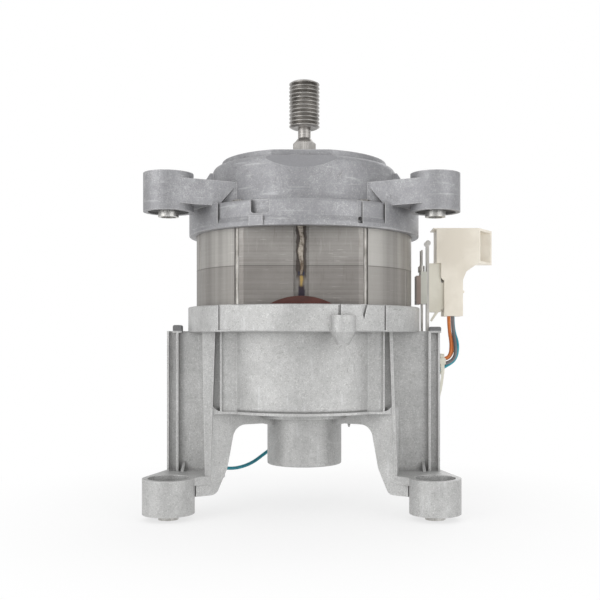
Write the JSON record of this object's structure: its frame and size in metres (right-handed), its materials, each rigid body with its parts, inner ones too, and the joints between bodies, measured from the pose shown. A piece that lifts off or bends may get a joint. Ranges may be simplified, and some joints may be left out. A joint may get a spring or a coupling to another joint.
{
  "type": "washing machine motor",
  "caption": "Washing machine motor: laminated stator between two cast brackets with four bushed lugs, a ribbed belt pulley on the shaft and a side terminal housing.",
  "frame": {"origin": "midway between the bottom faces of the two lower lug sleeves", "axes": "+Z along the shaft towards the pulley, +X towards the terminal housing, +Y from the lugs' line towards and past the shaft"},
  "size_m": [0.2072, 0.1436, 0.2581],
  "materials": {
    "cast_front": "as-cast satin",
    "cast_rear": "as-cast satin",
    "lamination": "stacked laminations",
    "weld": "weld bead",
    "bolt_steel": "zinc plated",
    "sleeve_steel": "turned",
    "bush_rubber": "matt",
    "shaft_steel": "ground",
    "pulley_steel": "turned",
    "bearing_steel": "ground",
    "cage_plastic": "moulded",
    "copper": "enamelled wire",
    "commutator_copper": "turned copper",
    "brown_resin": "moulded resin",
    "fan_plastic": "moulded",
    "fibre": "pressed fibre",
    "carbon": "pressed carbon",
    "brass": "pressed",
    "ferrite": "sintered",
    "spring_steel": "drawn wire",
    "terminal_ivory": "moulded",
    "terminal_base_ivory": "moulded",
    "plate_steel": "plated sheet",
    "lead_orange": "PVC",
    "lead_grey": "PVC",
    "lead_blue": "PVC",
    "tie_cream": "nylon"
  },
  "bodies": {
    "motor_frame": {"front_bracket": "cast_front", "rear_bracket": "cast_rear", "stator_pack_upper": "lamination", "stator_pack_lower": "lamination", "stator_welds": "weld", "field_coil_left": "copper", "field_coil_right": "copper", "insulation_slips": "fibre", "through_bolts": "bolt_steel", "lug_sleeves_lower": "sleeve_steel", "lug_sleeves_upper": "sleeve_steel", "lug_bushes_lower": "bush_rubber", "lug_bushes_upper": "bush_rubber", "front_bearing_outer_ring": "bearing_steel", "rear_bearing_outer_ring": "bearing_steel", "bearing_wave_spring": "spring_steel", "tacho_coil": "brown_resin", "tacho_cap": "fan_plastic", "brush_box_left": "brass", "brush_box_right": "brass", "brush_holder_left": "brown_resin", "brush_holder_right": "brown_resin", "brush_cap_left": "brown_resin", "brush_cap_right": "brown_resin", "brush_holder_screws": "bolt_steel", "brush_spring_left": "spring_steel", "brush_spring_right": "spring_steel", "terminal_housing": "terminal_ivory", "terminal_base": "terminal_base_ivory", "terminal_blades": "brass", "terminal_plate": "plate_steel", "terminal_inner_block": "terminal_base_ivory", "phenolic_strip": "brown_resin", "terminal_pins": "plate_steel", "lead_orange_a": "lead_orange", "lead_orange_b": "lead_orange", "lead_grey": "lead_grey", "lead_blue": "lead_blue", "cable_tie": "tie_cream"},
    "rotor": {"shaft": "shaft_steel", "pulley": "pulley_steel", "shaft_collar": "shaft_steel", "rotor_pack": "lamination", "rotor_winding_lower": "copper", "rotor_winding_upper": "copper", "commutator_core": "brown_resin", "commutator_bars": "commutator_copper", "cooling_fan": "fan_plastic", "tacho_magnet": "ferrite", "front_bearing_inner_ring": "bearing_steel", "rear_bearing_inner_ring": "bearing_steel"},
    "front_ball_set": {"front_bearing_balls": "bearing_steel", "front_bearing_cage": "cage_plastic"},
    "rear_ball_set": {"rear_bearing_balls": "bearing_steel", "rear_bearing_cage": "cage_plastic"},
    "brush_left": {"carbon_brush_left": "carbon"},
    "brush_right": {"carbon_brush_right": "carbon"}
  },
  "joints": [
    {"name": "rotor_spin", "type": "hinge", "parent": "motor_frame", "child": "rotor", "pos_m": [0, 0.045, 0.14], "axis": [0, 0, 1], "continuous": true},
    {"name": "front_ball_orbit", "type": "hinge", "parent": "motor_frame", "child": "front_ball_set", "pos_m": [0, 0.045, 0.2], "axis": [0, 0, 1], "continuous": true},
    {"name": "rear_ball_orbit", "type": "hinge", "parent": "motor_frame", "child": "rear_ball_set", "pos_m": [0, 0.045, 0.057], "axis": [0, 0, 1], "continuous": true},
    {"name": "brush_left_slide", "type": "slide", "parent": "motor_frame", "child": "brush_left", "axis": [-1, 0, 0], "range_m": [0, 0.008], "stiffness_N_per_m": 100, "springref_m": -0.02, "deforming": ["brush_spring_left"]},
    {"name": "brush_right_slide", "type": "slide", "parent": "motor_frame", "child": "brush_right", "axis": [1, 0, 0], "range_m": [0, 0.008], "stiffness_N_per_m": 100, "springref_m": -0.02, "deforming": ["brush_spring_right"]}
  ],
  "couplings": [
    {"joint": "front_ball_orbit", "follows": "rotor_spin", "ratio": 0.3659},
    {"joint": "rear_ball_orbit", "follows": "rotor_spin", "ratio": 0.3659}
  ]
}
